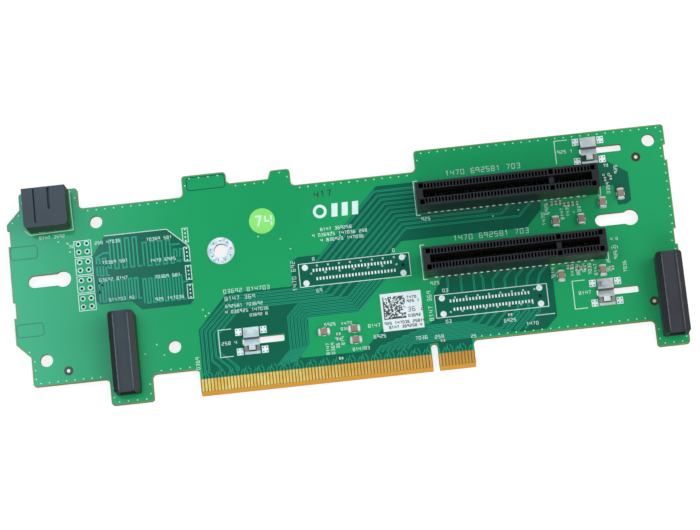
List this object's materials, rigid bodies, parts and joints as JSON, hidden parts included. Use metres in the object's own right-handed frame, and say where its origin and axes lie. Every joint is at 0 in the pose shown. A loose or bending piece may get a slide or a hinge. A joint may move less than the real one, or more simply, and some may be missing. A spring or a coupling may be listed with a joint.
{
  "type": "pcie riser card",
  "caption": "Flat riser board that plugs in by its gold edge connector and carries stacked card slots, guide blocks, retaining clips and a cable header.",
  "frame": {"origin": "on the centre line of the edge connector's key notch, at the bottom edge of the tongue, on the underside of the board", "axes": "+Z out of the component side; +X along the long edge towards the short end of the edge connector; +Y away from the gold fingers"},
  "size_m": [0.2053, 0.0691, 0.0141],
  "materials": {
    "solder_mask": "gloss",
    "tinned_copper": "satin",
    "gold_plate": "polished",
    "black_nylon": "satin",
    "black_moulding": "satin",
    "contact_bronze": "polished",
    "clip_steel": "satin",
    "ceramic": "matt",
    "tinned_ends": "satin",
    "white_film": "matt",
    "green_film": "matt"
  },
  "bodies": {
    "root": {"circuit_board": "solder_mask", "coupon_pads": "tinned_copper", "grounding_ring": "tinned_copper", "edge_fingers_front": "gold_plate", "edge_fingers_back": "gold_plate", "upper_slot_housing": "black_nylon", "lower_slot_housing": "black_nylon", "upper_slot_contacts_a": "contact_bronze", "upper_slot_contacts_b": "contact_bronze", "lower_slot_contacts_a": "contact_bronze", "lower_slot_contacts_b": "contact_bronze", "upper_spring_clip": "clip_steel", "lower_spring_clip": "clip_steel", "left_spring_clip": "clip_steel", "clip_solder_pads": "tinned_copper", "left_guide_block": "black_moulding", "right_guide_block": "black_moulding", "cable_header_housing": "black_moulding", "cable_header_pins": "contact_bronze", "left_footprint_pads": "tinned_copper", "right_footprint_pads": "tinned_copper", "bulk_capacitor_bodies": "ceramic", "bulk_capacitor_ends": "tinned_ends", "small_chip_bodies": "ceramic", "small_chip_ends": "tinned_ends", "serial_label": "white_film", "inspection_sticker": "green_film"}
  },
  "joints": []
}
